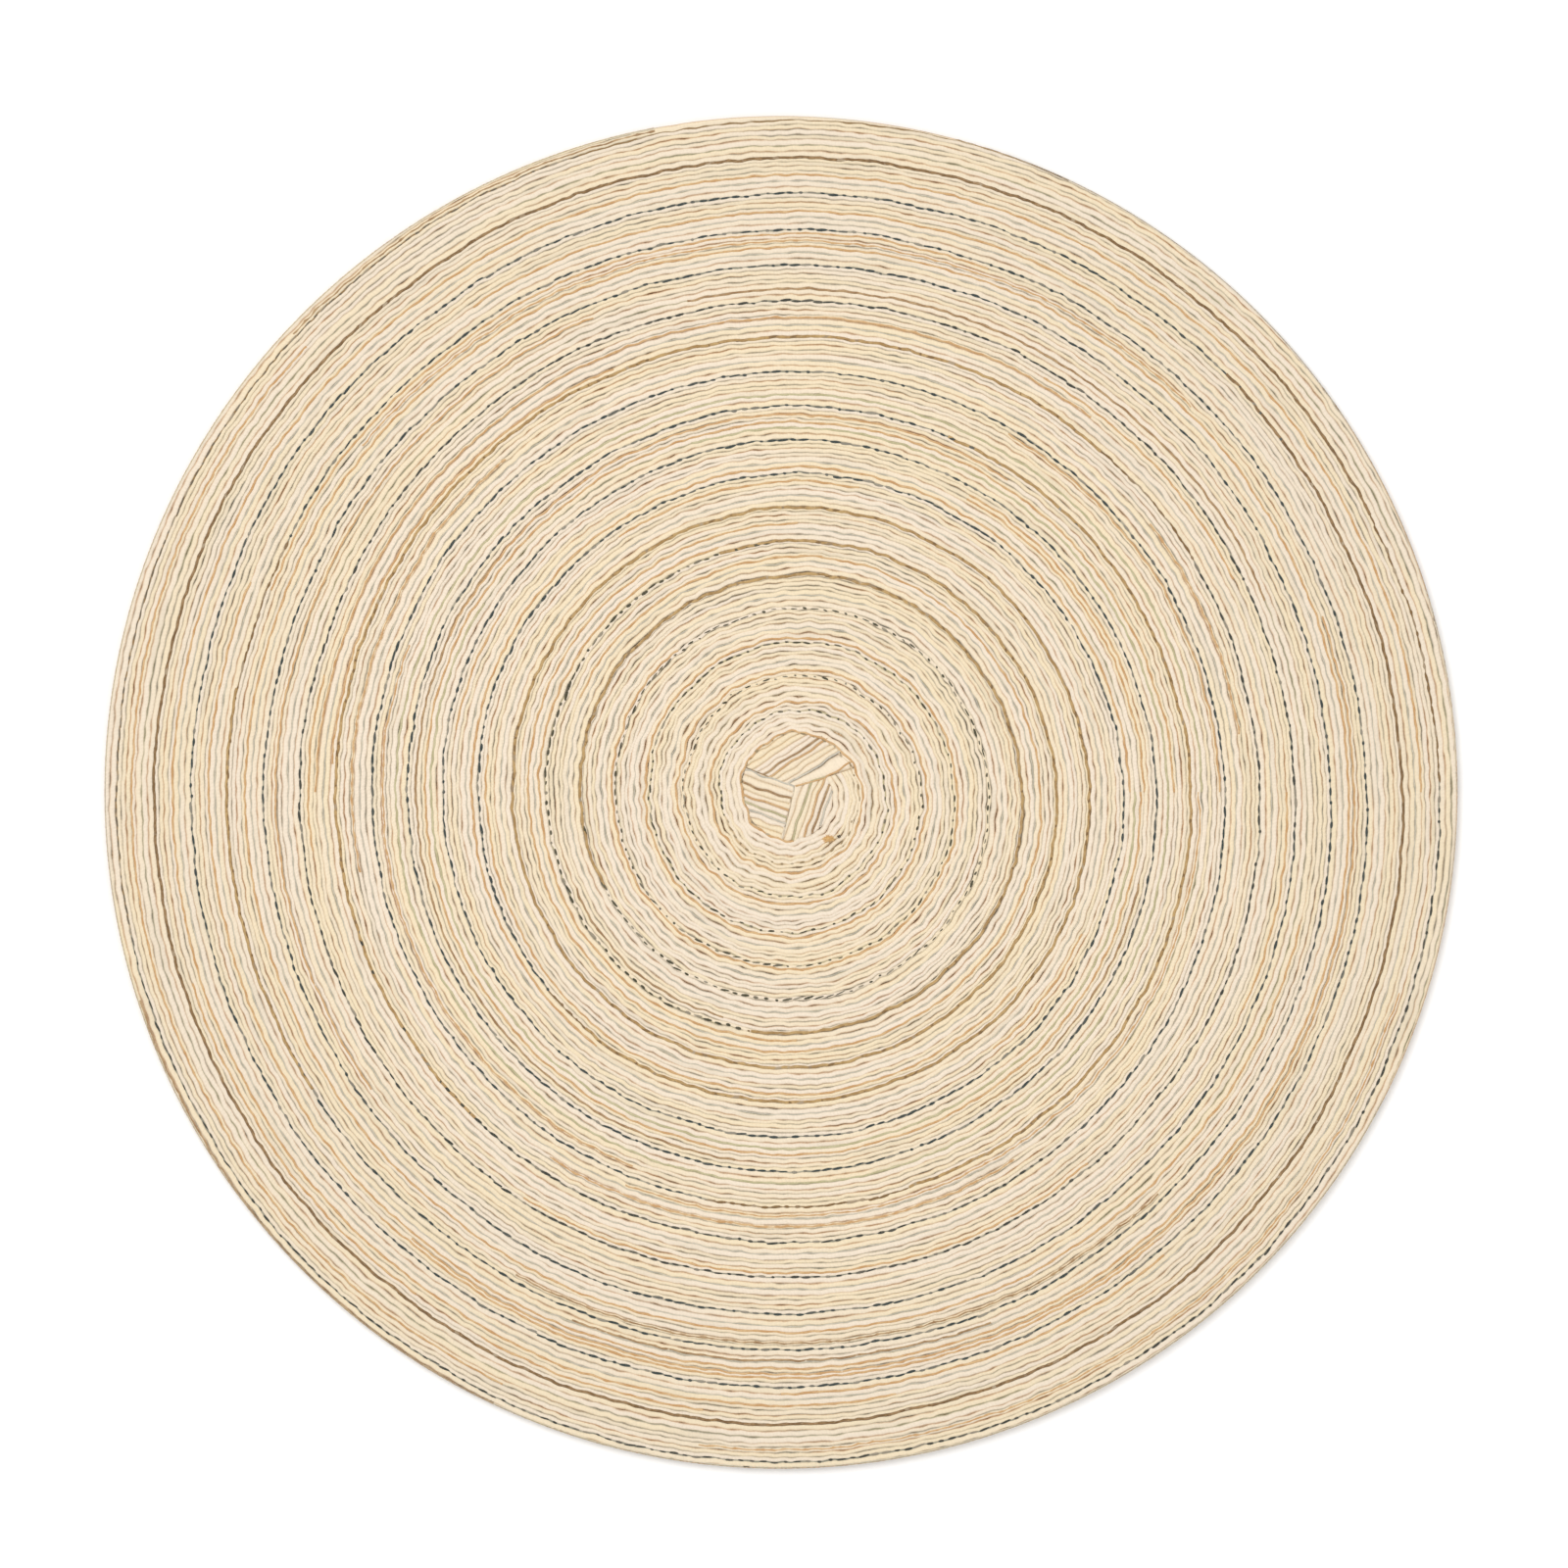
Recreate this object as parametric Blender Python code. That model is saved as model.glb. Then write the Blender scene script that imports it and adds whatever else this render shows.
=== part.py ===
"""Round tabletop mat: one long ribbed cotton tape, folded into three short legs at the middle, then wound
flat round them and sewn edge to edge. Metres, +Z up, the underside on z = 0, the origin at the circle's
middle. Seen from above the tape winds outwards clockwise."""

import math

import bmesh
import bpy
from mathutils import Vector

# Driving dimensions, in metres and degrees
MAT_DIAMETER = 0.380
TAPE_THICKNESS = 0.0030
TAPE_PITCH = 0.0088          # from one seam to the next, at the start of the winding
PITCH_GROWTH = 0.000088      # each turn lies this much wider than the one inside it
SEAM_GAP = 0.00036           # between the edges of neighbouring turns
EDGE_CHAMFER = 0.0009        # the tape's rounded upper edges, which leave a V along the seam
GROOVE_DEPTH = 0.0009        # the shallow groove along the middle of the tape
YARN_CLEARANCE = 0.00031     # between a thread or yarn and the groove that it lies in
ACCENT_WIDTH = 0.0007        # coloured yarns in the tape's middle groove
TAIL_WIDTH = 0.0012          # the tape's trimmed tip
THREAD_END_WIDTH = 0.0042    # the joining thread stops where the last turn is as narrow as this

# The folded start
START_RADIUS = 0.0098        # mean radius of the seam round the folded legs, where it begins
START_ANGLE = 18.0           # direction of the tape's first section, anticlockwise from +X
START_OFFSET = Vector((0.0040, -0.0007))   # the innermost turn's middle
RIM_OFFSET = Vector((0.0016, -0.0023))     # the outermost turn's middle, before the rim is trimmed
FOLD_HUB = Vector((0.0036, 0.0016))        # where the three legs meet
FOLD_CLEARANCE = 0.00033
KNOT_RADIUS = 0.0014
KNOT_HEIGHT = 0.0009
KNOT_PLACE = Vector((0.0129, -0.0126))

# How finely the turns are divided
INNER_STEPS = 20             # sections in each of the inner turns
OUTER_STEPS = 40             # sections in each of the outer turns
FINE_FROM_RADIUS = 0.045
LEG_ENDS = {
    "folded_leg_right": (0, 6),
    "folded_leg_left": (6, 13),
    "folded_leg_top": (13, INNER_STEPS),
}

# Where each coloured yarn shows, from its first to its last place along the winding, as shares of
# the joining thread's turns
ACCENT_SPANS = {
    "tan_yarn_inner": (0.309, 0.377),
    "tan_yarn_middle": (0.497, 0.554),
    "tan_yarn_outer": (0.78, 0.864),
    "tan_yarn_rim": (0.901, 0.947),
}

RIM = MAT_DIAMETER / 2


def clear_scene():
    for item in list(bpy.context.scene.objects):
        bpy.data.objects.remove(item, do_unlink=True)


def material(name, colour, roughness):
    made = bpy.data.materials.new(name)
    made.use_nodes = True
    shader = made.node_tree.nodes["Principled BSDF"]
    shader.inputs["Base Color"].default_value = (*colour, 1.0)
    shader.inputs["Roughness"].default_value = roughness
    shader.inputs["Metallic"].default_value = 0.0
    return made


def direction(turns):
    """The way out from the origin, after so many turns of the tape."""
    angle = math.radians(START_ANGLE) - 2 * math.pi * turns
    return Vector((math.cos(angle), math.sin(angle)))


def seam_radius(turns):
    """Distance from the origin to the seam on the tape's inner side."""
    mean = START_RADIUS + TAPE_PITCH * turns + PITCH_GROWTH * turns * turns / 2
    share = (mean - START_RADIUS) / (RIM - START_RADIUS)
    return mean + START_OFFSET.lerp(RIM_OFFSET, share).dot(direction(turns))


def tape_edges(turns):
    """Distances from the origin to the tape's inner and outer edges; the rim trims the last turn."""
    inner = seam_radius(turns) + SEAM_GAP / 2
    outer = min(seam_radius(turns + 1) - SEAM_GAP / 2, RIM)
    return inner, outer


def tape_width(turns):
    inner, outer = tape_edges(turns)
    return outer - inner


def sections(narrowest):
    """Turn counts of the tape's sections, until the tape is narrower than given."""
    found = []
    turns = 0.0
    while tape_width(turns) >= narrowest:
        found.append(turns)
        steps = INNER_STEPS if seam_radius(turns) < FINE_FROM_RADIUS else OUTER_STEPS
        turns = round(turns * steps + 1) / steps
    return found


def swept(name, rings, finish):
    """One closed solid through a row of rings, each a list of points that runs the same way round."""
    mesh = bpy.data.meshes.new(name)
    build = bmesh.new()
    rows = [[build.verts.new(point) for point in ring] for ring in rings]
    for row, following in zip(rows, rows[1:]):
        for i in range(len(row)):
            j = (i + 1) % len(row)
            build.faces.new((row[i], row[j], following[j], following[i]))
    build.faces.new(rows[0])
    build.faces.new(rows[-1])
    bmesh.ops.recalc_face_normals(build, faces=build.faces)
    build.to_mesh(mesh)
    build.free()
    return placed(name, mesh, finish)


def placed(name, mesh, finish):
    mesh.materials.append(finish)
    mesh.shade_smooth()
    mesh.set_sharp_from_angle(angle=math.radians(30))
    made = bpy.data.objects.new(name, mesh)
    bpy.context.scene.collection.objects.link(made)
    return made


def ring(turns, profile):
    """A profile of (distance, height) pairs, stood up on the line out from the origin."""
    out = direction(turns)
    return [(out.x * distance, out.y * distance, height) for distance, height in profile]


def tape_profile(turns):
    inner, outer = tape_edges(turns)
    width = outer - inner
    chamfer = min(EDGE_CHAMFER, width / 4)
    groove = GROOVE_DEPTH * chamfer / EDGE_CHAMFER
    shoulder = TAPE_THICKNESS - chamfer
    return [
        (inner, 0.0),
        (outer, 0.0),
        (outer, shoulder),
        (outer - chamfer, TAPE_THICKNESS),
        ((inner + outer) / 2, TAPE_THICKNESS - groove),
        (inner + chamfer, TAPE_THICKNESS),
        (inner, shoulder),
    ]


def thread_profile(turns):
    """The joining thread fills the V over the seam, flush with the tape."""
    seam = seam_radius(turns)
    lowest = TAPE_THICKNESS - EDGE_CHAMFER - SEAM_GAP / 2 + YARN_CLEARANCE * math.sqrt(2)
    half_width = TAPE_THICKNESS - lowest
    return [(seam, lowest), (seam + half_width, TAPE_THICKNESS), (seam - half_width, TAPE_THICKNESS)]


def accent_profile(turns):
    """A coloured yarn lies in the bottom of the tape's middle groove."""
    inner, outer = tape_edges(turns)
    middle = (inner + outer) / 2
    slope = math.atan2(GROOVE_DEPTH, (outer - inner) / 2 - EDGE_CHAMFER)
    lowest = TAPE_THICKNESS - GROOVE_DEPTH + YARN_CLEARANCE / math.cos(slope)
    half_width = ACCENT_WIDTH / 2
    return [(middle, lowest), (middle + half_width, lowest + half_width),
            (middle, lowest + ACCENT_WIDTH * 0.8), (middle - half_width, lowest + half_width)]


def wound_tape(finish):
    return swept("wound_tape", [ring(t, tape_profile(t)) for t in sections(TAIL_WIDTH)], finish)


def joining_thread(finish):
    places = sections(THREAD_END_WIDTH)
    return swept("joining_thread", [ring(t, thread_profile(t)) for t in places], finish)


def accent_yarn(name, span, finish):
    places = sections(THREAD_END_WIDTH)
    first, last = (share * places[-1] for share in span)
    return swept(name, [ring(t, accent_profile(t)) for t in places if first <= t <= last], finish)


def seam_point(step):
    turns = step / INNER_STEPS
    return direction(turns) * seam_radius(turns)


def leg_outline(first, last):
    """A leg reaches from the hub to its share of the seam; the last one also meets the tape's first end."""
    outline = [seam_point(step) for step in range(first, last + 1)]
    if last == INNER_STEPS:
        outline.append(seam_point(0))
    return [FOLD_HUB] + outline


def folded_leg(name, first, last, finish):
    """A flat leg with the tape's thickness and chamfered upper edge, clear of what lies round it."""
    mesh = bpy.data.meshes.new(name)
    build = bmesh.new()
    outline = [build.verts.new((point.x, point.y, 0.0)) for point in leg_outline(first, last)]
    floor = build.faces.new(outline)
    bmesh.ops.recalc_face_normals(build, faces=[floor])
    rim = bmesh.ops.inset_region(
        build, faces=[floor], thickness=FOLD_CLEARANCE, use_boundary=True, use_even_offset=True
    )
    bmesh.ops.delete(build, geom=rim["faces"], context="FACES")
    if floor.normal.z < 0:
        floor.normal_flip()
    lift = Vector((0.0, 0.0, TAPE_THICKNESS - EDGE_CHAMFER))
    raised = bmesh.ops.extrude_face_region(build, geom=[floor], use_keep_orig=True)
    top = next(item for item in raised["geom"] if isinstance(item, bmesh.types.BMFace))
    bmesh.ops.translate(build, verts=list(top.verts), vec=lift)
    bmesh.ops.inset_region(
        build, faces=[top], thickness=EDGE_CHAMFER, depth=EDGE_CHAMFER, use_even_offset=True
    )
    bmesh.ops.recalc_face_normals(build, faces=build.faces)
    build.to_mesh(mesh)
    build.free()
    return placed(name, mesh, finish)


def start_knot(finish):
    """The knotted end of a yarn, lying on the first turn."""
    mesh = bpy.data.meshes.new("start_knot")
    build = bmesh.new()
    bmesh.ops.create_icosphere(build, subdivisions=2, radius=1.0)
    bmesh.ops.scale(build, verts=build.verts, vec=(KNOT_RADIUS, KNOT_RADIUS, KNOT_HEIGHT / 2))
    height = TAPE_THICKNESS + YARN_CLEARANCE + KNOT_HEIGHT / 2
    bmesh.ops.translate(build, verts=build.verts, vec=(KNOT_PLACE.x, KNOT_PLACE.y, height))
    build.to_mesh(mesh)
    build.free()
    return placed("start_knot", mesh, finish)


def main():
    clear_scene()
    cotton = material("cream_cotton", (0.78, 0.65, 0.47), 0.95)
    folded = material("folded_cotton", (0.80, 0.68, 0.51), 0.95)
    thread = material("joining_thread", (0.17, 0.15, 0.10), 0.9)
    tan = material("tan_yarn", (0.60, 0.37, 0.17), 0.9)
    orange = material("orange_yarn", (0.72, 0.42, 0.13), 0.9)
    wound_tape(cotton)
    joining_thread(thread)
    for name, (first, last) in LEG_ENDS.items():
        folded_leg(name, first, last, folded)
    for name, span in ACCENT_SPANS.items():
        accent_yarn(name, span, tan)
    start_knot(orange)


main()
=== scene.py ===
"""Looks of a round table mat: a cream ribbed cotton tape, folded at the middle, wound flat and sewn
with a dark thread. Metres, +Z up, the mat's underside on z = 0."""

import math
import random

import bmesh
import bpy
import numpy as np
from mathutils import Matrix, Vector


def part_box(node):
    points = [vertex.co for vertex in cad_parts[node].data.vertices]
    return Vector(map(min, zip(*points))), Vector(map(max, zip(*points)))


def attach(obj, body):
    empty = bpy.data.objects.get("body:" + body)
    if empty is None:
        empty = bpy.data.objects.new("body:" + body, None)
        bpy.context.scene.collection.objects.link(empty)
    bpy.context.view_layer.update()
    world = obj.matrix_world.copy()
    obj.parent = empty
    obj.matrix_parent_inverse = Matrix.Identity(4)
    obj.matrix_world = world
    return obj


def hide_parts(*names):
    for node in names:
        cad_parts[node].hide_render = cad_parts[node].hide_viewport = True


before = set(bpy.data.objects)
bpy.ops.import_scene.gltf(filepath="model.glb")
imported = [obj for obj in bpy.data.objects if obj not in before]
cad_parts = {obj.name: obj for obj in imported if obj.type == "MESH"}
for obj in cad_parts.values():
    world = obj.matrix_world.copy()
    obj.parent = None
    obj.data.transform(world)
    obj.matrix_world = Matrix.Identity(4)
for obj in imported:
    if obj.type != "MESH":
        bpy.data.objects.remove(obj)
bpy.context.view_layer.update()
TAPE_LOW, TAPE_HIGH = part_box("wound_tape")
RIM = (TAPE_HIGH.x - TAPE_LOW.x) / 2
THICKNESS = TAPE_HIGH.z - TAPE_LOW.z

# The winding, as it is in the solid model
START_RADIUS = 0.0098
PITCH = 0.0088
PITCH_GROWTH = 0.000088
START_ANGLE = math.radians(18.0)
START_OFFSET = Vector((0.0040, -0.0007))
RIM_OFFSET = Vector((0.0016, -0.0023))
FOLD_HUB = Vector((0.0036, 0.0016))     # where the three folded legs meet

# The tape's ribs: edges as shares of its width, from the inner selvedge to the outer one
RIB_EDGES = (0.0, 0.177, 0.333, 0.508, 0.615, 0.760, 0.882, 1.0)
MIDDLE_GROOVE = RIB_EDGES[3]
RIB_OVERLAP = 1.13           # neighbouring ribs press into each other
RIB_SIDES = 7
RIB_SPACING = 0.00088        # from one section of a rib to the next
ROWS_ON_MAP = 36             # a rib's long map is folded into rows
SIDE_SHARES = (0.05, 0.10, 0.24, 0.22, 0.24, 0.10, 0.05)    # room for each side of a rib on its map

# Waves, as a length and a height in metres
DRIFT = (0.055, 0.0013)      # slow wander of the whole winding
SWAY = (0.011, 0.00080)      # waves a few stitches long
RIPPLE = (0.0032, 0.00075)   # pull of each stitch
SLACK_RADIUS = 0.035         # the turns near the middle wave up to three times as much
SWELL_LENGTH = 0.0021        # thick and thin places of a spun strand
WANDER_LENGTH = 0.0035       # a loose strand's own waves
RIM_ROUNDING = 0.0007        # by which the rim is drawn in at its top and bottom

# The joining thread
THREAD_START = 0.35          # turns
BARE_END = 0.12              # turns without a stitch, where the seam runs out at the rim
STITCH_SPACING = 0.0031
STITCH_LENGTH = 0.0033
STITCH_WIDTH = 0.00078
STITCH_HEIGHT = 0.00284      # of its middle above the mat's underside
STITCH_RIM_GAP = 0.0014


class Term:
    """A number's socket in a node tree, which can be written into sums."""

    def __init__(self, graph, socket):
        self.graph = graph
        self.socket = socket

    def __add__(self, other):
        return self.graph.sum("ADD", self, other)

    def __radd__(self, other):
        return self.graph.sum("ADD", other, self)

    def __sub__(self, other):
        return self.graph.sum("SUBTRACT", self, other)

    def __rsub__(self, other):
        return self.graph.sum("SUBTRACT", other, self)

    def __mul__(self, other):
        return self.graph.sum("MULTIPLY", self, other)

    def __rmul__(self, other):
        return self.graph.sum("MULTIPLY", other, self)

    def __truediv__(self, other):
        return self.graph.sum("DIVIDE", self, other)

    def __rtruediv__(self, other):
        return self.graph.sum("DIVIDE", other, self)

    def __pow__(self, other):
        return self.graph.sum("POWER", self, other)

    def __neg__(self):
        return self.graph.sum("MULTIPLY", self, -1.0)


class Graph:
    """A node tree being written."""

    def __init__(self, tree):
        self.tree = tree

    def node(self, kind, settings=None, values=None):
        """Any node: its settings first, then the values or links of its sockets, by name or number."""
        made = self.tree.nodes.new(kind)
        for name, value in (settings or {}).items():
            if name == "stops":
                set_stops(made.color_ramp, value)
            else:
                setattr(made, name, value)
        for name, value in (values or {}).items():
            socket = made.inputs[name]
            if isinstance(value, Term):
                value = value.socket
            if isinstance(value, bpy.types.NodeSocket):
                self.tree.links.new(value, socket)
            else:
                socket.default_value = value
        return made

    def term(self, kind, settings=None, values=None, output=0):
        return Term(self, self.node(kind, settings, values).outputs[output])

    def sum(self, operation, *terms):
        return self.term("ShaderNodeMath", {"operation": operation}, dict(enumerate(terms)))

    def named(self, name):
        """A named attribute of the piece that a geometry tree works on."""
        settings = {"data_type": "FLOAT"}
        return self.term("GeometryNodeInputNamedAttribute", settings, {"Name": name})

    def random_wave(self, place, length, seed):
        """Smooth noise from -0.5 to 0.5 along one measure."""
        values = {"W": place / length + seed, "Scale": 1.0, "Detail": 1.0, "Roughness": 0.5}
        return self.term("ShaderNodeTexNoise", {"noise_dimensions": "1D"}, values) - 0.5


def set_stops(ramp, stops):
    """Colour stops, as (place, colour) pairs that start at the lowest place."""
    while len(ramp.elements) > 1:
        ramp.elements.remove(ramp.elements[-1])
    for i, (place, colour) in enumerate(stops):
        stop = ramp.elements[0] if i == 0 else ramp.elements.new(place)
        stop.position = place
        stop.color = (*colour, 1.0)


def cosine(angle):
    return angle.graph.sum("COSINE", angle) if isinstance(angle, Term) else math.cos(angle)


def sine(angle):
    return angle.graph.sum("SINE", angle) if isinstance(angle, Term) else math.sin(angle)


def vector(graph, x=0.0, y=0.0, z=0.0):
    return graph.term("ShaderNodeCombineXYZ", None, {"X": x, "Y": y, "Z": z})


def ramped(graph, value, low, high, start, end, kind="LINEAR"):
    """One number below low, another above high, and a ramp in between."""
    return graph.term("ShaderNodeMapRange", {"interpolation_type": kind},
                      {0: value, 1: low, 2: high, 3: start, 4: end})


def between(graph, value, low, high):
    """0 below low, 1 above high, smooth in between."""
    return ramped(graph, value, low, high, 0.0, 1.0, "SMOOTHSTEP")


def winding_angle(turns):
    return START_ANGLE - turns * (2 * math.pi)


def seam_radius(turns):
    """Distance from the middle to the seam on the tape's inner side, for a number or a term."""
    mean = START_RADIUS + turns * PITCH + turns * turns * (PITCH_GROWTH / 2)
    share = (mean - START_RADIUS) / (RIM - START_RADIUS)
    across = START_OFFSET.x + share * (RIM_OFFSET.x - START_OFFSET.x)
    along = START_OFFSET.y + share * (RIM_OFFSET.y - START_OFFSET.y)
    angle = winding_angle(turns)
    return mean + across * cosine(angle) + along * sine(angle)


def strand_radius(turns, share):
    """Distance from the middle to a strand that lies at a share of the tape's width."""
    inner = seam_radius(turns)
    return inner + (seam_radius(turns + 1.0) - inner) * share


def seam_dip(graph, turns):
    """Share of the tape's width by which the dark thread runs inside the seam, near the middle."""
    begins = ramped(graph, turns, 0.8, 1.3, 0.0, 0.25, "SMOOTHSTEP")
    return begins / graph.sum("EXPONENT", graph.sum("MAXIMUM", turns - 2.0, 0.0) / 2.2)


def last_turn(share):
    """Turns after which a strand at that share of the tape's width has run out over the rim."""
    turns = 16.0
    while strand_radius(turns, share) < RIM:
        turns += 0.01
    return turns


MEAN_PITCH = (RIM - START_RADIUS) / last_turn(0.0)


def run_length(turns, share=0.0):
    """Length along the winding from its start, near enough for spacing."""
    first = START_RADIUS + MEAN_PITCH * share
    return 2 * math.pi * (first * turns + MEAN_PITCH * turns * turns / 2)


def turns_at(graph, length, first):
    """Turns at a length along a strand that begins at a first radius."""
    root = graph.sum("SQRT", first * first + length * (MEAN_PITCH / math.pi))
    return (root - first) / MEAN_PITCH


def shaken(graph, x, y):
    """Shift of a strand away from its even path, the same for all the strands at one place."""
    place = vector(graph, x, y)
    radius = graph.sum("SQRT", x * x + y * y)
    slack = 1.0 + 2.0 / (1.0 + (radius / SLACK_RADIUS) ** 2.0)
    total = 0.0
    for (length, height), ease in ((DRIFT, 1.0), (SWAY, slack), (RIPPLE, slack)):
        values = {"Vector": place, "Scale": 1.0 / length, "Detail": 0.0}
        noise = graph.term("ShaderNodeTexNoise", {"noise_dimensions": "3D"}, values) - 0.5
        total = total + noise * ease * height
    return total


def input_ids(tree):
    """Identifiers of a tree's named inputs."""
    return {item.name: item.identifier for item in tree.interface.items_tree if item.in_out == "INPUT"}


def made_by(tree, name, values):
    """A plain mesh piece from a geometry tree, with the values of its named inputs."""
    carrier = bpy.data.objects.new(name + "_source", bpy.data.meshes.new(name + "_source"))
    bpy.context.scene.collection.objects.link(carrier)
    modifier = carrier.modifiers.new("build", "NODES")
    modifier.node_group = tree
    for key, identifier in input_ids(tree).items():
        if key in values:
            modifier[identifier] = values[key]
    bpy.context.view_layer.update()
    evaluated = carrier.evaluated_get(bpy.context.evaluated_depsgraph_get())
    mesh = bpy.data.meshes.new_from_object(evaluated)
    mesh.name = name
    bpy.data.objects.remove(carrier, do_unlink=True)
    return placed(name, mesh)


def placed(name, mesh):
    piece = bpy.data.objects.new(name, mesh)
    bpy.context.scene.collection.objects.link(piece)
    return piece


def new_tree(name, sizes):
    """A geometry tree with its named inputs, each with its kind and usual value, and one output."""
    tree = bpy.data.node_groups.new(name, "GeometryNodeTree")
    for size, (kind, value) in sizes.items():
        socket = tree.interface.new_socket(size, in_out="INPUT", socket_type=kind)
        if value is not None:
            socket.default_value = value
    tree.interface.new_socket("Geometry", in_out="OUTPUT", socket_type="NodeSocketGeometry")
    return tree


def tree_sizes(graph):
    """A geometry tree's inputs, as terms by name."""
    group = graph.node("NodeGroupInput")
    return {name: Term(graph, group.outputs[name]) for name in input_ids(graph.tree)}


def straight_rail(graph, count):
    """A row of points in a line, which is laid along the winding afterwards."""
    line = graph.node("GeometryNodeCurvePrimitiveLine", None, {"End": (1.0, 0.0, 0.0)})
    rail = graph.node("GeometryNodeResampleCurve", None, {"Curve": line.outputs[0], "Count": count})
    return rail.outputs[0]


def stored(graph, geometry, name, value):
    """The geometry with a named number at each of its points."""
    settings = {"data_type": "FLOAT", "domain": "POINT"}
    values = {"Geometry": geometry, "Name": name, "Value": value}
    return graph.node("GeometryNodeStoreNamedAttribute", settings, values).outputs[0]


def moved_to(graph, geometry, place):
    values = {"Geometry": geometry, "Position": place}
    return graph.node("GeometryNodeSetPosition", None, values).outputs[0]


def scattered(graph, low, high, seed):
    """A number for each point, at random between two."""
    values = {2: low, 3: high, "Seed": seed}
    return graph.term("FunctionNodeRandomValue", {"data_type": "FLOAT"}, values, output=1)


def finish_tree(graph, geometry, material):
    """Ends a tree: smooth faces, real copies and the material."""
    smooth = graph.node("GeometryNodeSetShadeSmooth", None, {"Geometry": geometry})
    real = graph.node("GeometryNodeRealizeInstances", None, {"Geometry": smooth.outputs[0]})
    values = {"Geometry": real.outputs[0], "Material": material}
    finish = graph.node("GeometryNodeSetMaterial", None, values)
    graph.node("NodeGroupOutput", None, {"Geometry": finish.outputs[0]})


def strand_tree():
    """A long strand of the winding: a tube along the spiral, with swellings and ripples. It is widest
    at its shoulder, a share of its height, and a low squareness makes its section boxy."""
    number = "NodeSocketFloat"
    tree = new_tree("winding_strand", {
        "Sections": ("NodeSocketInt", 100),
        "Sides": ("NodeSocketInt", RIB_SIDES),
        "First length": (number, 0.0),
        "Last length": (number, 1.0),
        "Share": (number, 0.5),
        "Half share": (number, 0.1),
        "Half width": (number, 0.0),
        "Low": (number, 0.0),
        "High": (number, 0.003),
        "Shoulder": (number, 0.5),
        "Squareness": (number, 0.6),
        "Swelling": (number, 0.1),
        "Wander": (number, 0.0),
        "Dip": (number, 0.0),
        "Seed": (number, 0.0),
        "Rim": (number, RIM),
        "Finish": ("NodeSocketMaterial", None),
    })
    graph = Graph(tree)
    size = tree_sizes(graph)
    index = graph.term("GeometryNodeInputIndex")

    share_of_run = index / (size["Sections"] - 1.0)
    length = size["First length"] + (size["Last length"] - size["First length"]) * share_of_run
    rail = stored(graph, straight_rail(graph, size["Sections"]), "along", length)
    turns = turns_at(graph, length, START_RADIUS + MEAN_PITCH * size["Share"])
    rail = stored(graph, rail, "turns", turns)
    rail = stored(graph, rail, "ring", index)

    values = {"Resolution": size["Sides"]}
    circle = graph.node("GeometryNodeCurvePrimitiveCircle", {"mode": "RADIUS"}, values)
    lean = index * (2 * math.pi) / size["Sides"] - math.pi / 2
    profile = stored(graph, circle.outputs[0], "side", index)
    profile = stored(graph, profile, "out", graph.sum("COSINE", lean))
    profile = stored(graph, profile, "up", graph.sum("SINE", lean))

    tube = graph.node("GeometryNodeCurveToMesh", None,
                      {"Curve": rail, "Profile Curve": profile, "Fill Caps": True})
    turns, along = graph.named("turns"), graph.named("along")
    out, up = graph.named("out"), graph.named("up")
    swell = 1.0 + graph.random_wave(along, SWELL_LENGTH, size["Seed"]) * size["Swelling"]
    inner = seam_radius(turns)
    pitch = seam_radius(turns + 1.0) - inner
    middle = inner + pitch * (size["Share"] - seam_dip(graph, turns) * size["Dip"])
    middle = middle + graph.random_wave(along, WANDER_LENGTH, size["Seed"] + 31.0) * size["Wander"]
    reach = out * (pitch * size["Half share"] + size["Half width"]) * swell
    angle = winding_angle(turns)
    across, along_y = graph.sum("COSINE", angle), graph.sum("SINE", angle)
    radius = middle + reach
    radius = radius + shaken(graph, middle * across, middle * along_y)
    squared = graph.sum("SIGN", up) * graph.sum("ABSOLUTE", up) ** size["Squareness"]
    tall = size["High"] - size["Low"]
    above = graph.sum("MAXIMUM", squared, 0.0) * (1.0 - size["Shoulder"]) * (1.0 + (swell - 1.0) * 0.5)
    below = graph.sum("MINIMUM", squared, 0.0) * size["Shoulder"]
    height = size["Low"] + tall * (size["Shoulder"] + above + below)
    from_middle = graph.sum("ABSOLUTE", height / (THICKNESS / 2) - 1.0)
    edge = size["Rim"] - from_middle ** 3.0 * RIM_ROUNDING
    radius = graph.sum("MINIMUM", radius, edge)
    place = vector(graph, radius * across, radius * along_y, height)
    finish_tree(graph, moved_to(graph, tube.outputs[0], place), size["Finish"])
    return tree


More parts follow.
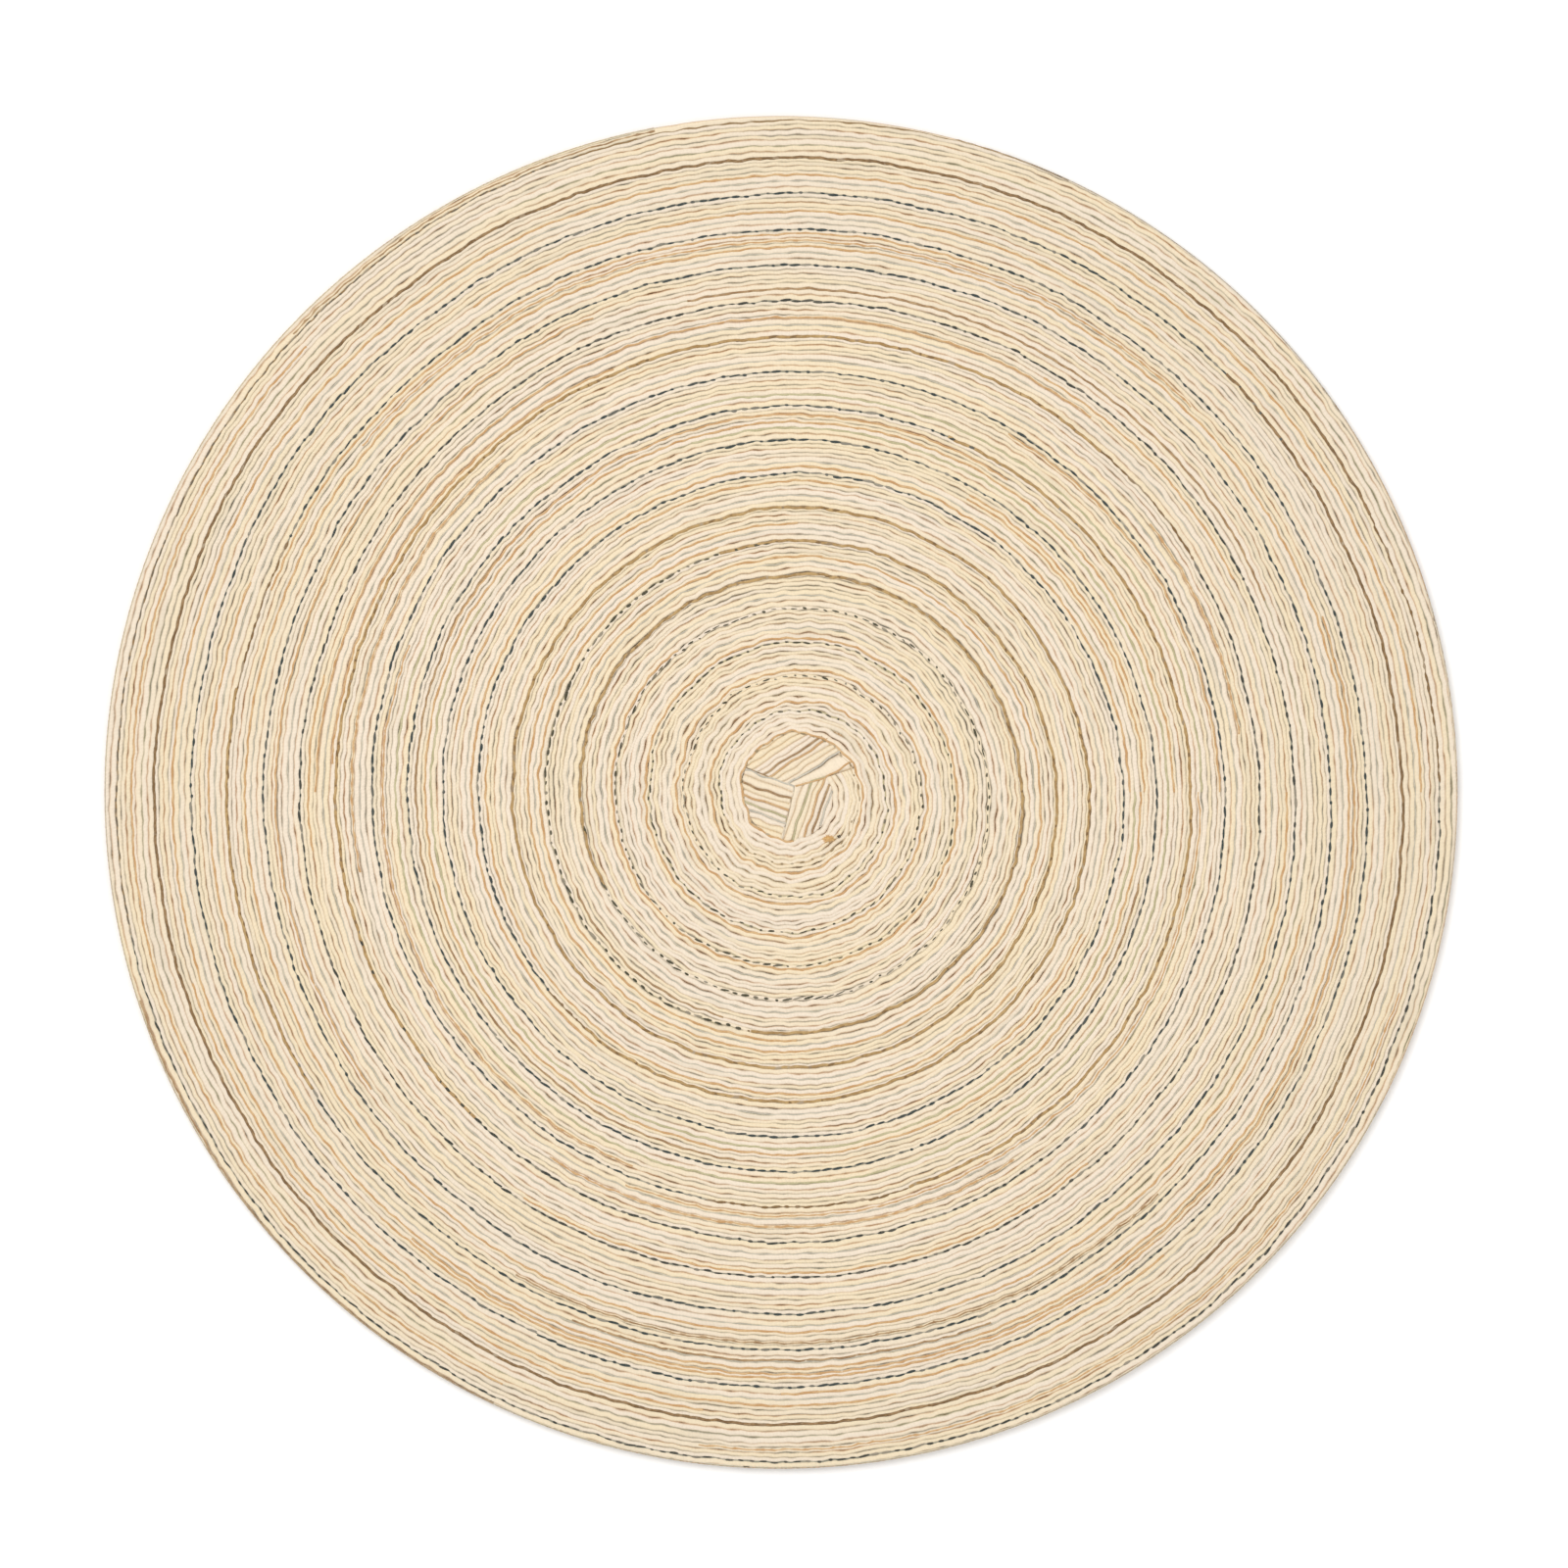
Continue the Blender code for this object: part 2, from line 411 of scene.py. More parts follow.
def stitch_tree():
    """Short stitches laid end to end along the seam, each a little turned and of its own length."""
    number = "NodeSocketFloat"
    tree = new_tree("seam_stitches", {
        "Count": ("NodeSocketInt", 100),
        "Start": (number, 0.0),
        "Run": (number, 1.0),
        "Length": (number, STITCH_LENGTH),
        "Width": (number, STITCH_WIDTH),
        "Height": (number, STITCH_HEIGHT),
        "Turn": (number, 0.16),
        "Seed": ("NodeSocketInt", 7),
        "Finish": ("NodeSocketMaterial", None),
    })
    graph = Graph(tree)
    size = tree_sizes(graph)
    index = graph.term("GeometryNodeInputIndex")

    length = size["Start"] + (size["Run"] - size["Start"]) * index / (size["Count"] - 1.0)
    rail = stored(graph, straight_rail(graph, size["Count"]), "along", length)
    rail = stored(graph, rail, "turns", turns_at(graph, length, START_RADIUS))
    turns = graph.named("turns")
    angle = winding_angle(turns)
    across, up = graph.sum("COSINE", angle), graph.sum("SINE", angle)
    radius = seam_radius(turns)
    radius = radius - (seam_radius(turns + 1.0) - radius) * seam_dip(graph, turns)
    radius = radius + shaken(graph, radius * across, radius * up)
    radius = graph.sum("MINIMUM", radius, RIM - STITCH_RIM_GAP)
    rail = moved_to(graph, rail, vector(graph, radius * across, radius * up, size["Height"]))
    points = graph.node("GeometryNodeCurveToPoints", {"mode": "EVALUATED"}, {"Curve": rail})

    bead = graph.node("GeometryNodeMeshUVSphere", None, {"Segments": 8, "Rings": 4, "Radius": 0.5})
    twist = scattered(graph, -size["Turn"], size["Turn"], size["Seed"])
    # Shorter stitches near the middle; thinner ones there and where the seam reaches the rim
    stretch = scattered(graph, 0.30, 1.15, size["Seed"])
    stretch = stretch * ramped(graph, turns, 1.5, 5.0, 0.55, 1.0)
    girth = scattered(graph, 0.65, 1.20, size["Seed"] + 5.0)
    girth = girth * ramped(graph, turns, 4.5, 6.0, 0.78, 1.0)
    girth = girth * ramped(graph, turns, 18.2, 18.6, 1.0, 0.6)
    width = size["Width"] * girth
    laid = graph.node("GeometryNodeInstanceOnPoints", None, {
        "Points": points.outputs["Points"],
        "Instance": bead.outputs["Mesh"],
        "Rotation": vector(graph, z=angle + twist),
        "Scale": vector(graph, width, size["Length"] * stretch, width * 0.8),
    })
    finish_tree(graph, laid.outputs[0], size["Finish"])
    return tree


def values_of(mesh, name):
    """A named number of each of a mesh's points."""
    found = np.zeros(len(mesh.vertices), np.float32)
    mesh.attributes[name].data.foreach_get("value", found)
    return found


def map_in_rows(mesh, sides, rows):
    """Unrolls a long strand on its map as rows one under another. The top of a rib gets most room."""
    shares = np.array(SIDE_SHARES) if sides == len(SIDE_SHARES) else np.full(sides, 1 / sides)
    steps = np.concatenate([[0.0], np.cumsum(shares)])
    corners = np.zeros(len(mesh.loops), np.int32)
    mesh.loops.foreach_get("vertex_index", corners)
    ring = np.rint(values_of(mesh, "ring")).astype(int)[corners]
    side = np.rint(values_of(mesh, "side")).astype(int)[corners]
    starts = np.zeros(len(mesh.polygons), np.int32)
    mesh.polygons.foreach_get("loop_start", starts)
    face = np.searchsorted(starts, np.arange(len(corners)), side="right") - 1
    first = np.minimum.reduceat(ring, starts)[face]
    wraps = (np.minimum.reduceat(side, starts) == 0) & (np.maximum.reduceat(side, starts) == sides - 1)
    side = np.where(wraps[face] & (side == 0), sides, side)
    per_row = math.ceil((ring.max() + 1) / rows)
    row = first // per_row
    u = 0.002 + 0.996 * (ring - row * per_row) / per_row
    v = (row + 0.03 + 0.94 * steps[side]) / rows
    layer = mesh.uv_layers.new(name="OFBake")
    layer.data.foreach_set("uv", np.stack([u, v], 1).astype(np.float32).ravel())


def strand(tree, name, share, half_share, finish, first=0.0, last=None, spacing=RIB_SPACING,
           sides=RIB_SIDES, rows=ROWS_ON_MAP, **sizes):
    """One strand of the winding as a finished piece."""
    last = last_turn(share - half_share * 0.6) if last is None else last
    start, end = run_length(first, share), run_length(last, share)
    values = {"Sections": int((end - start) / spacing), "Sides": sides, "Share": share,
              "Half share": half_share, "First length": start, "Last length": end, "Finish": finish}
    values.update({key.replace("_", " ").capitalize(): value for key, value in sizes.items()})
    piece = made_by(tree, name, values)
    map_in_rows(piece.data, sides, rows)
    return piece


def shader_graph(name):
    material = bpy.data.materials.new(name)
    material.use_nodes = True
    return material, Graph(material.node_tree), material.node_tree.nodes["Principled BSDF"]


def attribute(graph, name):
    return graph.term("ShaderNodeAttribute", {"attribute_name": name}, output="Fac")


def blended(graph, factor, first, second):
    """A second colour over a first one, by a factor."""
    node = graph.node("ShaderNodeMix", {"data_type": "RGBA"}, {0: factor})
    for socket, colour in ((node.inputs[6], first), (node.inputs[7], second)):
        if isinstance(colour, bpy.types.NodeSocket):
            graph.tree.links.new(colour, socket)
        else:
            socket.default_value = (*colour, 1.0)
    return node.outputs[2]


# Spun cotton: the length of one twist, and its slant as a share of a twist
COTTON_TWIST = 0.00105
TWIST_SLANT = 0.35


def spun_surface(graph, shader, twist, depth, follows=True):
    """Fine fibres, as bump: slanting round a strand that it follows, or by object place on the
    stitches. Returns their noise for the colour to use."""
    if follows:
        along, out, up = (attribute(graph, name) for name in ("along", "out", "up"))
        turned = graph.sum("COSINE", (along / twist + out * TWIST_SLANT) * (2 * math.pi)) * 0.22
        place, scale = vector(graph, along * 900.0, out * 3.0, up * 3.0), 1.0
    else:
        turned = 0.0
        place, scale = graph.node("ShaderNodeTexCoord").outputs["Object"], 1 / twist
    hair = graph.term("ShaderNodeTexNoise", {"noise_dimensions": "3D"},
                      {"Vector": place, "Scale": scale, "Detail": 3.0, "Roughness": 0.6})
    height = hair + turned
    bump = graph.node("ShaderNodeBump", None, {"Height": height, "Strength": 0.7, "Distance": depth})
    graph.tree.links.new(bump.outputs[0], shader.inputs["Normal"])
    shader.inputs["Roughness"].default_value = 0.93
    shader.inputs["Sheen Weight"].default_value = 0.15
    shader.inputs["Sheen Roughness"].default_value = 0.6
    return hair


# Cotton tints, linear
CREAM = (0.835, 0.705, 0.520)
YELLOW_CREAM = (0.852, 0.708, 0.487)
PINK_CREAM = (0.847, 0.723, 0.577)
GREY_CREAM = (0.660, 0.565, 0.425)
# Groove colours: the coloured weft seen in the grooves, darkened with painted shade
TAN_GROOVE = (0.500, 0.280, 0.120)
GREY_GROOVE = (0.340, 0.310, 0.230)
GREEN_GROOVE = (0.360, 0.325, 0.180)

# How much pinker or yellower each rib is
RIB_PINKNESS = (0.00, 0.05, 0.09, -0.03, 0.02, -0.04, 0.05)

# The groove at each rib edge, painted darker as coloured weft and painted shade: its strength and its
# colour
GROOVE_WEFT_AND_SHADE = (
    (0.60, GREY_GROOVE), (0.75, TAN_GROOVE), (1.00, GREEN_GROOVE), (0.70, TAN_GROOVE),
    (0.75, GREY_GROOVE), (1.00, TAN_GROOVE), (0.60, GREY_GROOVE), (0.60, GREY_GROOVE),
)


def wave(graph, place, length, seed, detail=2.0):
    """Noise along one measure, as a number from 0 to 1."""
    values = {"W": place / length + seed, "Scale": 1.0, "Detail": detail, "Roughness": 0.6}
    return graph.term("ShaderNodeTexNoise", {"noise_dimensions": "1D"}, values)


def cotton(name, seed, pinkness, inner, outer):
    """Cream cotton of one rib: a tint that drifts along the yarn, slanting fibres with painted shade in
    their hollows, and the grooves at its inner and outer edge painted darker as coloured weft and
    painted shade, each given as a strength and a colour."""
    material, graph, shader = shader_graph(name)
    hair = spun_surface(graph, shader, COTTON_TWIST, 0.00022)
    along, out, turns = (attribute(graph, key) for key in ("along", "out", "turns"))
    tint = between(graph, wave(graph, along, 0.16, seed) + pinkness, 0.40, 0.64)
    base = blended(graph, tint, YELLOW_CREAM, PINK_CREAM)

    soiled = between(graph, wave(graph, along, 0.045, seed * 3.0), 0.58, 0.75)
    aged = between(graph, turns, 11.0, 17.0)
    tick = graph.sum("COSINE", (along / COTTON_TWIST + out * TWIST_SLANT) * (2 * math.pi))
    ticks = between(graph, tick, 0.55, 1.0)
    # Painted shade where the fibre bump is low, in the hollows between fibres
    hollow_shade = between(graph, hair, 0.52, 0.30)
    for mask, strength in ((soiled, 0.35), (aged, 0.16), (ticks, 0.16), (hollow_shade, 0.30)):
        base = blended(graph, mask * strength, base, GREY_CREAM)

    side = between(graph, out, -0.1, 0.1)
    shade = blended(graph, side, inner[1], outer[1])
    hue = between(graph, wave(graph, along, 0.07, seed + 11.0), 0.50, 0.62)
    shade = blended(graph, hue, shade, GREY_GROOVE)
    patches = between(graph, wave(graph, along + out * 9.0, 0.035, seed + 5.0), 0.32, 0.56)
    groove = (inner[0] + side * (outer[0] - inner[0])) * (0.35 + 0.65 * patches)
    settled = 0.35 + 0.65 * between(graph, turns, 0.2, 5.0)
    edge = between(graph, graph.sum("ABSOLUTE", out), 0.44, 0.92)
    # Rib sides towards the grooves painted darker: the coloured weft there and painted shade
    base = blended(graph, edge * groove * settled, base, shade)
    graph.tree.links.new(base, shader.inputs["Base Color"])
    return material


# Colours of the sewing thread, linear, and the turns from which each one runs
OLIVE = (0.050, 0.044, 0.018)
TEAL = (0.024, 0.038, 0.036)
DEEP = (0.030, 0.032, 0.022)
BROWN = (0.200, 0.112, 0.036)
TAN = (0.30, 0.21, 0.10)
RIM_BROWN = (0.13, 0.10, 0.06)
STITCH_RUNS = (
    (0.0, TAN), (1.45, OLIVE), (5.48, BROWN), (6.29, OLIVE), (6.76, BROWN), (8.40, TEAL),
    (10.87, BROWN), (11.26, TEAL), (12.12, DEEP), (12.44, BROWN), (12.92, DEEP), (14.05, TEAL),
    (15.46, BROWN), (15.58, TEAL), (16.93, BROWN), (17.98, DEEP), (18.50, RIM_BROWN),
)

# Softer colours of the bed on which each one's stitches lie
OLIVE_BED = (0.48, 0.41, 0.24)
TEAL_BED = (0.25, 0.24, 0.18)
BROWN_BED = (0.26, 0.155, 0.055)
TAN_BED = (0.60, 0.45, 0.27)
BED_OF = {
    OLIVE: OLIVE_BED, TEAL: TEAL_BED, DEEP: TEAL_BED, BROWN: BROWN_BED, TAN: TAN_BED,
    RIM_BROWN: BROWN_BED,
}
MOST_TURNS = 20.0            # the turns that the ramp of thread colours stands for


def dyed_thread(name, runs, follows):
    """Thread that changes colour along the winding, with worn pale patches."""
    material, graph, shader = shader_graph(name)
    hair = spun_surface(graph, shader, 0.0007 if follows else 0.0003, 0.0001, follows)
    turns = attribute(graph, "turns")
    stops = [(turn / MOST_TURNS, colour) for turn, colour in runs]
    ramp = graph.node("ShaderNodeValToRGB", {"stops": stops}, {0: turns / MOST_TURNS})
    ramp.color_ramp.interpolation = "CONSTANT"
    worn = between(graph, wave(graph, attribute(graph, "along"), 0.009, 4.0), 0.50, 0.66) * 0.40
    base = blended(graph, worn, ramp.outputs[0], GREY_CREAM)
    base = blended(graph, between(graph, hair, 0.5, 0.8) * 0.25, base, GREY_CREAM)
    graph.tree.links.new(base, shader.inputs["Base Color"])
    return material


def yarn(name, colour, second, seed):
    """A coloured yarn in the tape, uneven in its dye."""
    material, graph, shader = shader_graph(name)
    hair = spun_surface(graph, shader, 0.0009, 0.00015)
    patch = wave(graph, attribute(graph, "along"), 0.006, seed, 3.0)
    base = blended(graph, between(graph, patch, 0.35, 0.65), colour, second)
    base = blended(graph, between(graph, hair, 0.5, 0.8) * 0.4, base, CREAM)
    graph.tree.links.new(base, shader.inputs["Base Color"])
    return material


def plain_cloth(name, colour, pitch):
    """The tape's thin ground: plain weave by object place."""
    material, graph, shader = shader_graph(name)
    place = graph.node("ShaderNodeTexCoord").outputs["Object"]
    noise = graph.term("ShaderNodeTexNoise", None, {"Vector": place, "Scale": 1 / pitch, "Detail": 3.0})
    base = blended(graph, between(graph, noise, 0.35, 0.7), colour, TAN_GROOVE)
    graph.tree.links.new(base, shader.inputs["Base Color"])
    bump = graph.node("ShaderNodeBump", None, {"Height": noise, "Strength": 0.5, "Distance": 0.0002})
    graph.tree.links.new(bump.outputs[0], shader.inputs["Normal"])
    shader.inputs["Roughness"].default_value = 0.95
    return material


def floor_paint():
    material, _, shader = shader_graph("white_floor")
    shader.inputs["Base Color"].default_value = (0.97, 0.97, 0.97, 1.0)
    shader.inputs["Roughness"].default_value = 0.9
    return material


# Camera, straight above, with the mat a little low and left of the middle
RIM_SHARE = 0.4318           # the mat's radius as a share of the view's width
FIELD = RIM / RIM_SHARE
CAMERA_OFFSET = Vector((0.00085, 0.00227))
CAMERA_HEIGHT = 2.4
SENSOR = 36.0

# Studio: the floor and the light; a lamp has a place, a size and a power
FLOOR_SIZE = 40.0
FLOOR_DROP = 0.0004          # keeps the floor clear of the mat's underside
SKY_STRENGTH = 0.76
LAMPS = {
    "key": ((-0.75, 0.85, 1.9), 1.3, 21.5),
    "fill": ((1.4, -1.2, 1.8), 1.6, 9.0),
}


def set_camera():
    """A camera that looks straight down and takes in the field at the height of the mat's top."""
    data = bpy.data.cameras.new("camera")
    data.sensor_width = SENSOR
    data.lens = SENSOR * (CAMERA_HEIGHT - THICKNESS) / FIELD
    camera = bpy.data.objects.new("camera", data)
    camera.location = (CAMERA_OFFSET.x, CAMERA_OFFSET.y, CAMERA_HEIGHT)
    bpy.context.scene.collection.objects.link(camera)
    bpy.context.scene.camera = camera


def set_studio():
    """Plain pale floor, an even sky, a large soft lamp from the upper left and a weak one opposite."""
    bpy.ops.mesh.primitive_plane_add(size=FLOOR_SIZE, location=(0.0, 0.0, -FLOOR_DROP))
    floor = bpy.context.object
    floor.name = "floor"
    floor.data.materials.append(floor_paint())
    world = bpy.data.worlds.new("soft_sky")
    world.use_nodes = True
    sky = world.node_tree.nodes["Background"]
    sky.inputs["Color"].default_value = (1.0, 1.0, 1.0, 1.0)
    sky.inputs["Strength"].default_value = SKY_STRENGTH
    bpy.context.scene.world = world
    for name, (place, size, power) in LAMPS.items():
        light = bpy.data.lights.new(name, "AREA")
        light.size = size
        light.energy = power
        lamp = bpy.data.objects.new(name, light)
        lamp.location = place
        lamp.rotation_euler = (-Vector(place)).to_track_quat("-Z", "Y").to_euler()
        bpy.context.scene.collection.objects.link(lamp)
    bpy.context.scene.view_settings.view_transform = "Standard"


# Coloured yarns in the tape's grooves and over the seam: first and last turn, and share of the tape's
# width. The four long tan ones are those of the solid model
TAN_LONG = {
    "tan_yarn_inner": (5.62, 6.81, MIDDLE_GROOVE),
    "tan_yarn_middle": (9.05, 10.05, MIDDLE_GROOVE),
    "tan_yarn_outer": (14.09, 15.61, MIDDLE_GROOVE),
    "tan_yarn_rim": (16.27, 17.05, MIDDLE_GROOVE),
}
TAN_SHORT = (
    (6.29, 6.76, 0.177), (7.16, 7.57, 0.760), (7.71, 7.84, 0.760), (8.40, 9.05, 0.177),
    (8.12, 8.19, 0.615), (8.89, 9.05, 0.615), (8.58, 8.64, 0.760), (8.89, 9.00, 0.760),
    (10.89, 11.05, 0.840), (11.05, 11.36, 0.25), (11.21, 11.39, 0.560), (11.52, 11.69, 0.560),
    (11.95, 12.03, 0.560), (12.56, 12.74, 0.13), (12.53, 12.59, 0.760), (12.89, 12.98, 0.760),
    (12.19, 12.39, 0.882), (13.05, 13.12, 0.760), (14.61, 14.86, 0.882), (15.71, 15.91, 0.508),
    (15.19, 15.42, 0.760), (16.19, 16.30, 0.177), (16.32, 16.38, 0.760), (16.40, 16.50, 0.760),
    (15.00, 15.41, 0.66), (17.10, 17.32, 0.68), (17.37, 17.67, 0.60), (13.45, 13.74, 0.66),
    (14.66, 14.93, 0.68), (12.55, 12.91, 0.55), (10.36, 10.61, 0.70), (9.62, 9.90, 0.72),
)
GOLD_SEAM = (
    (5.47, 6.32, -0.045), (6.76, 8.41, -0.020), (10.87, 11.25, 0.0), (12.42, 12.92, 0.0),
    (15.46, 15.58, 0.02),
)
BROWN_SEAM = ((16.93, 17.98, 0.0),)
BROWN_SHORT = (
    (5.34, 5.48, 0.760), (9.09, 9.21, 0.760), (9.32, 9.66, 0.760), (13.77, 13.99, 0.333),
    (14.18, 14.38, 0.820), (15.24, 15.36, 0.28), (18.37, 18.50, 0.22), (18.67, 18.77, 0.10),
)
TAN_WAVY = ((0.26, 4.7, 0.02),)
OLIVE_LONG = ((9.05, 9.64, 0.333), (9.76, 10.05, 0.333), (10.05, 11.05, 0.320))
GREY_LONG = ((2.0, 8.9, 0.333), (11.2, 13.6, 0.333), (14.2, 17.2, 0.333))

YARN_SIDES = 6
YARN_HALF_WIDTH = 0.00037
YARN_DEPTH = 0.0007
YARN_TOP = 0.00307           # above the mat's underside

# Yarns: a colour, a second one for its patches, both linear, and the patches' seed
YARN_DYES = {
    "tan_yarn": ((0.54, 0.30, 0.12), (0.64, 0.42, 0.21), 1.0),
    "brown_yarn": ((0.30, 0.17, 0.07), (0.46, 0.30, 0.15), 2.0),
    "brown_seam_thread": ((0.165, 0.088, 0.028), (0.30, 0.18, 0.075), 5.0),
    "gold_seam_thread": ((0.34, 0.200, 0.068), (0.48, 0.31, 0.125), 8.0),
    "olive_yarn": ((0.45, 0.40, 0.22), (0.55, 0.49, 0.30), 3.0),
    "grey_yarn": ((0.48, 0.44, 0.36), (0.62, 0.56, 0.45), 4.0),
    "orange_yarn": ((0.62, 0.33, 0.09), (0.72, 0.45, 0.18), 6.0),
    "dark_fibre": ((0.10, 0.07, 0.04), (0.16, 0.11, 0.06), 7.0),
}

# Pieces of yarn that the solid model doesn't have: spans, yarn, slot, half width and top
LOOSE_YARNS = {
    "short_tan_yarns": (TAN_SHORT, "tan_yarn", "tan_yarn", YARN_HALF_WIDTH, YARN_TOP),
    "short_brown_yarns": (BROWN_SHORT, "brown_yarn", "tan_yarn", YARN_HALF_WIDTH, YARN_TOP),
    "gold_seam_threads": (GOLD_SEAM, "gold_seam_thread", "joining_thread", 0.00047, 0.00314),
    "brown_seam_threads": (BROWN_SEAM, "brown_seam_thread", "joining_thread", 0.00047, 0.00312),
    "olive_yarns": (OLIVE_LONG, "olive_yarn", "joining_thread", YARN_HALF_WIDTH, YARN_TOP),
    "grey_yarns": (GREY_LONG, "grey_yarn", "joining_thread", 0.00020, 0.0029),
    "wavy_tan_yarn": (TAN_WAVY, "tan_yarn", "tan_yarn", 0.00040, YARN_TOP),
}


def joined(name, pieces):
    """Several meshes as one piece."""
    with bpy.context.temp_override(active_object=pieces[0], selected_editable_objects=pieces):
        bpy.ops.object.join()
    pieces[0].name = name
    pieces[0].data.name = name
    return pieces[0]


def finished(piece, slot, *nodes):
    """Hands a piece over: its body and the solid nodes that it stands for. The slot, its finish, is not
    used.
    """
    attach(piece, "root")
    if nodes:
        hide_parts(*nodes)
    return piece


def make_ribs(tree):
    """The tape's seven ribs, each wound from the middle to the rim as one strand."""
    ribs = []
    for i, (low, high) in enumerate(zip(RIB_EDGES, RIB_EDGES[1:])):
        finish = cotton(f"cotton_rib_{i + 1}", 3.7 * i, RIB_PINKNESS[i], GROOVE_WEFT_AND_SHADE[i], GROOVE_WEFT_AND_SHADE[i + 1])
        ribs.append(strand(
            tree, f"rib_{i + 1}", (low + high) / 2, (high - low) / 2 * RIB_OVERLAP, finish,
            shoulder=0.72, squareness=0.5, swelling=0.22, seed=17.3 * i))
    return ribs


def make_ground(tree):
    """The thin cotton ground between the ribs, which is nearly hidden by them."""
    finish = plain_cloth("tape_ground_weave", CREAM, 0.0006)
    return strand(tree, "tape_ground", 0.5, 0.495, finish, spacing=0.004, sides=4, rows=20,
                  low=0.0008, high=0.0022, squareness=0.2, swelling=0.0)


# Folded legs: steps of the first turn between which each lies, the way its ribs run in degrees, the
# edges of its ribs from the crease outwards in millimetres, and which edges hold a coloured yarn
LEG_STEPS = 20
LEG_LAP = 1.045              # neighbouring legs press into each other by this much
LEG_SECTION_SPACING = 0.00045
LEG_SECTIONS = 70            # on each side of the hub
LEG_WAVE = 0.00036
UNDER_SEAM = 0.0002          # by which a leg goes under the first turn
LEG_RIB_PRESS = 0.00005      # by which a rib presses into the next one
LEG_YARN_HALF_WIDTH = 0.00029
LEG_YARN_DEPTH = 0.0007
LEAST_RIB = 0.0003           # a narrower rib is left out at the leg's outline
FULL_RIB = 0.0009            # a narrower rib is lower too
LEGS = {
    "folded_leg_right": ((0, 6), -108.5, (0.0, 2.1, 4.2, 5.8, 7.4, 9.2, 10.5, 12.2, 14.0),
                         {2: "olive", 4: "tan", 5: "brown", 6: "grey"}),
    "folded_leg_left": ((6, 13), 161.0, (0.0, 1.6, 3.7, 5.2, 6.9, 8.7, 10.4, 12.2, 13.9, 15.6, 18.6),
                        {0: "grey", 2: "brown", 4: "tan", 5: "olive", 6: "grey"}),
    "folded_leg_top": ((13, 20), 33.0, (-3.0, 1.3, 2.8, 4.4, 6.0, 7.4, 9.0, 10.3, 11.8, 13.6, 15.4),
                       {0: "tan", 1: "grey", 4: "tan", 5: "brown"}),
}


def leg_outline(first, last):
    """Corners of a leg, drawn out a little into its neighbours: the hub, then along the first turn's
    inner side."""
    points = [FOLD_HUB]
    for step in range(first, last + 1):
        turns = step / LEG_STEPS
        angle = winding_angle(turns)
        points.append(Vector((math.cos(angle), math.sin(angle))) * (seam_radius(turns) + UNDER_SEAM))
    if last == LEG_STEPS:
        angle = winding_angle(0.0)
        points.append(Vector((math.cos(angle), math.sin(angle))) * seam_radius(0.0))
    middle = sum(points, Vector((0.0, 0.0))) / len(points)
    return [middle + (point - middle) * LEG_LAP for point in points]


def reach_across(outline, run, side, distance):
    """Lowest and highest place of an outline, across the ribs, at one distance along them."""
    places = []
    for start, end in zip(outline, outline[1:] + outline[:1]):
        here, there = (start - FOLD_HUB).dot(run) - distance, (end - FOLD_HUB).dot(run) - distance
        if (here < 0) != (there < 0):
            places.append((start.lerp(end, here / (here - there)) - FOLD_HUB).dot(side))
    return (min(places), max(places)) if places else (0.0, 0.0)


def short_strand(name, rings, finish, sides=RIB_SIDES):
    """A closed tube from its sections: each has the start of its fibres, its distance along, its inner
    and outer side, its bottom and its top."""
    build = bmesh.new()
    keys = {key: build.verts.layers.float.new(key) for key in ("along", "out", "up")}
    rows = []
    for place, along, inner, outer, low, high in rings:
        row = []
        for i in range(sides):
            lean = 2 * math.pi * i / sides - math.pi / 2
            out, up = math.cos(lean), math.sin(lean)
            flat = inner.lerp(outer, 0.5 + out * 0.5)
            height = low + (high - low) * (0.5 + 0.5 * math.copysign(abs(up) ** 0.45, up))
            vertex = build.verts.new((flat.x, flat.y, height))
            for key, value in zip(("along", "out", "up"), (along + place, out, up)):
                vertex[keys[key]] = value
            row.append(vertex)
        rows.append(row)
    for row, following in zip(rows, rows[1:]):
        for i in range(sides):
            j = (i + 1) % sides
            build.faces.new((row[i], row[j], following[j], following[i]))
    build.faces.new(rows[0])
    build.faces.new(rows[-1])
    bmesh.ops.recalc_face_normals(build, faces=build.faces)
    mesh = bpy.data.meshes.new(name)
    build.to_mesh(mesh)
    build.free()
    mesh.materials.append(finish)
    mesh.shade_smooth()
    return placed(name, mesh)


KNOT_SPACING = 7             # places from one random offset to the next


def waved(chance, places, height):
    """Smooth random offsets, one for each place."""
    knots = [chance.uniform(-height, height) for _ in range(places // KNOT_SPACING + 3)]
    found = []
    for i in range(places):
        k, rest = divmod(i / KNOT_SPACING, 1.0)
        ease = rest * rest * (3 - 2 * rest)
        found.append(knots[int(k)] * (1 - ease) + knots[int(k) + 1] * ease)
    return found


